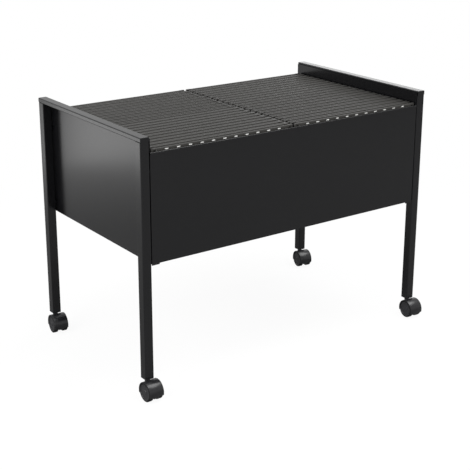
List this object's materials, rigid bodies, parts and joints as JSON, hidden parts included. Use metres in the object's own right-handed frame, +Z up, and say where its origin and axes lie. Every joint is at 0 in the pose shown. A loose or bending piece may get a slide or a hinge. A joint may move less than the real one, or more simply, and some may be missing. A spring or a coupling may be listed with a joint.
{
  "type": "hanging file trolley",
  "caption": "Low steel trolley on twin casters: an open box between two leg frames, with rows of hanging files on rails.",
  "frame": {"origin": "on the floor under the middle of the frame, half way between the four caster stems", "axes": "+Z up, +X to the right along the long side seen from the front, +Y from the front panel to the rear"},
  "size_m": [0.7669, 0.458, 0.55],
  "materials": {
    "frame_paint": "semi-gloss black powder coat",
    "rail_steel": "semi-gloss black paint",
    "zinc_steel": "zinc plated",
    "bar_paint": "black painted bar steel",
    "black_plastic": "matte",
    "hood_plastic": "satin",
    "wheel_plastic": "satin",
    "file_card": "smooth coated black card",
    "white_card": "matte card",
    "paper": "matte paper"
  },
  "bodies": {
    "frame": {"left_top_rail": "frame_paint", "left_side_panel": "frame_paint", "left_hanging_rail": "rail_steel", "front_left_leg": "frame_paint", "rear_left_leg": "frame_paint", "right_top_rail": "frame_paint", "right_side_panel": "frame_paint", "right_hanging_rail": "rail_steel", "front_right_leg": "frame_paint", "rear_right_leg": "frame_paint", "front_panel": "frame_paint", "rear_panel": "frame_paint", "centre_hanging_rail": "rail_steel", "box_screws": "zinc_steel", "box_washers": "black_plastic", "front_left_leg_plug": "black_plastic", "front_left_caster_stem": "zinc_steel", "front_right_leg_plug": "black_plastic", "front_right_caster_stem": "zinc_steel", "rear_left_leg_plug": "black_plastic", "rear_left_caster_stem": "zinc_steel", "rear_right_leg_plug": "black_plastic", "rear_right_caster_stem": "zinc_steel"},
    "caster_front_left": {"front_left_caster_hood": "hood_plastic", "front_left_caster_axle": "zinc_steel"},
    "wheel_front_left_outer": {"front_left_outer_wheel": "wheel_plastic"},
    "wheel_front_left_inner": {"front_left_inner_wheel": "wheel_plastic"},
    "caster_front_right": {"front_right_caster_hood": "hood_plastic", "front_right_caster_axle": "zinc_steel"},
    "wheel_front_right_outer": {"front_right_outer_wheel": "wheel_plastic"},
    "wheel_front_right_inner": {"front_right_inner_wheel": "wheel_plastic"},
    "caster_rear_left": {"rear_left_caster_hood": "hood_plastic", "rear_left_caster_axle": "zinc_steel"},
    "wheel_rear_left_outer": {"rear_left_outer_wheel": "wheel_plastic"},
    "wheel_rear_left_inner": {"rear_left_inner_wheel": "wheel_plastic"},
    "caster_rear_right": {"rear_right_caster_hood": "hood_plastic", "rear_right_caster_axle": "zinc_steel"},
    "wheel_rear_right_outer": {"rear_right_outer_wheel": "wheel_plastic"},
    "wheel_rear_right_inner": {"rear_right_inner_wheel": "wheel_plastic"},
    "front_file_left": {"left_front_pocket": "file_card", "left_front_bars": "bar_paint", "left_index_strip": "white_card"},
    "middle_files_left": {"left_middle_pockets": "file_card", "left_middle_bars": "bar_paint", "left_middle_papers": "paper"},
    "rear_files_left": {"left_rear_pockets": "file_card", "left_rear_bars": "bar_paint", "left_rear_papers": "paper"},
    "front_file_right": {"right_front_pocket": "file_card", "right_front_bars": "bar_paint", "right_index_strip": "white_card"},
    "middle_files_right": {"right_middle_pockets": "file_card", "right_middle_bars": "bar_paint", "right_middle_papers": "paper"},
    "rear_files_right": {"right_rear_pockets": "file_card", "right_rear_bars": "bar_paint", "right_rear_papers": "paper"}
  },
  "joints": [
    {"name": "swivel_front_left", "type": "hinge", "parent": "frame", "child": "caster_front_left", "pos_m": [-0.365, -0.205, 0.03], "axis": [0, 0, 1], "continuous": true},
    {"name": "roll_front_left_outer", "type": "hinge", "parent": "caster_front_left", "child": "wheel_front_left_outer", "pos_m": [-0.36474, -0.2196, 0.02], "axis": [0.9998, 0.0175, 0], "continuous": true},
    {"name": "roll_front_left_inner", "type": "hinge", "parent": "caster_front_left", "child": "wheel_front_left_inner", "pos_m": [-0.36474, -0.2196, 0.02], "axis": [0.9998, 0.0175, 0], "continuous": true},
    {"name": "swivel_front_right", "type": "hinge", "parent": "frame", "child": "caster_front_right", "pos_m": [0.365, -0.205, 0.03], "axis": [0, 0, 1], "continuous": true},
    {"name": "roll_front_right_outer", "type": "hinge", "parent": "caster_front_right", "child": "wheel_front_right_outer", "pos_m": [0.36398, -0.21956, 0.02], "axis": [0.9976, -0.0698, 0], "continuous": true},
    {"name": "roll_front_right_inner", "type": "hinge", "parent": "caster_front_right", "child": "wheel_front_right_inner", "pos_m": [0.36398, -0.21956, 0.02], "axis": [0.9976, -0.0698, 0], "continuous": true},
    {"name": "swivel_rear_left", "type": "hinge", "parent": "frame", "child": "caster_rear_left", "pos_m": [-0.365, 0.205, 0.03], "axis": [0, 0, 1], "continuous": true},
    {"name": "roll_rear_left_outer", "type": "hinge", "parent": "caster_rear_left", "child": "wheel_rear_left_outer", "pos_m": [-0.36627, 0.19046, 0.02], "axis": [0.9962, -0.0872, 0], "continuous": true},
    {"name": "roll_rear_left_inner", "type": "hinge", "parent": "caster_rear_left", "child": "wheel_rear_left_inner", "pos_m": [-0.36627, 0.19046, 0.02], "axis": [0.9962, -0.0872, 0], "continuous": true},
    {"name": "swivel_rear_right", "type": "hinge", "parent": "frame", "child": "caster_rear_right", "pos_m": [0.365, 0.205, 0.03], "axis": [0, 0, 1], "continuous": true},
    {"name": "roll_rear_right_outer", "type": "hinge", "parent": "caster_rear_right", "child": "wheel_rear_right_outer", "pos_m": [0.36246, 0.19062, 0.02], "axis": [0.9848, -0.1736, 0], "continuous": true},
    {"name": "roll_rear_right_inner", "type": "hinge", "parent": "caster_rear_right", "child": "wheel_rear_right_inner", "pos_m": [0.36246, 0.19062, 0.02], "axis": [0.9848, -0.1736, 0], "continuous": true},
    {"name": "lift_front_file_left", "type": "slide", "parent": "frame", "child": "front_file_left", "axis": [0, 0, 1], "range_m": [0, 0.3]},
    {"name": "lift_middle_files_left", "type": "slide", "parent": "frame", "child": "middle_files_left", "axis": [0, 0, 1], "range_m": [0, 0.3]},
    {"name": "lift_rear_files_left", "type": "slide", "parent": "frame", "child": "rear_files_left", "axis": [0, 0, 1], "range_m": [0, 0.3]},
    {"name": "lift_front_file_right", "type": "slide", "parent": "frame", "child": "front_file_right", "axis": [0, 0, 1], "range_m": [0, 0.3]},
    {"name": "lift_middle_files_right", "type": "slide", "parent": "frame", "child": "middle_files_right", "axis": [0, 0, 1], "range_m": [0, 0.3]},
    {"name": "lift_rear_files_right", "type": "slide", "parent": "frame", "child": "rear_files_right", "axis": [0, 0, 1], "range_m": [0, 0.3]}
  ]
}
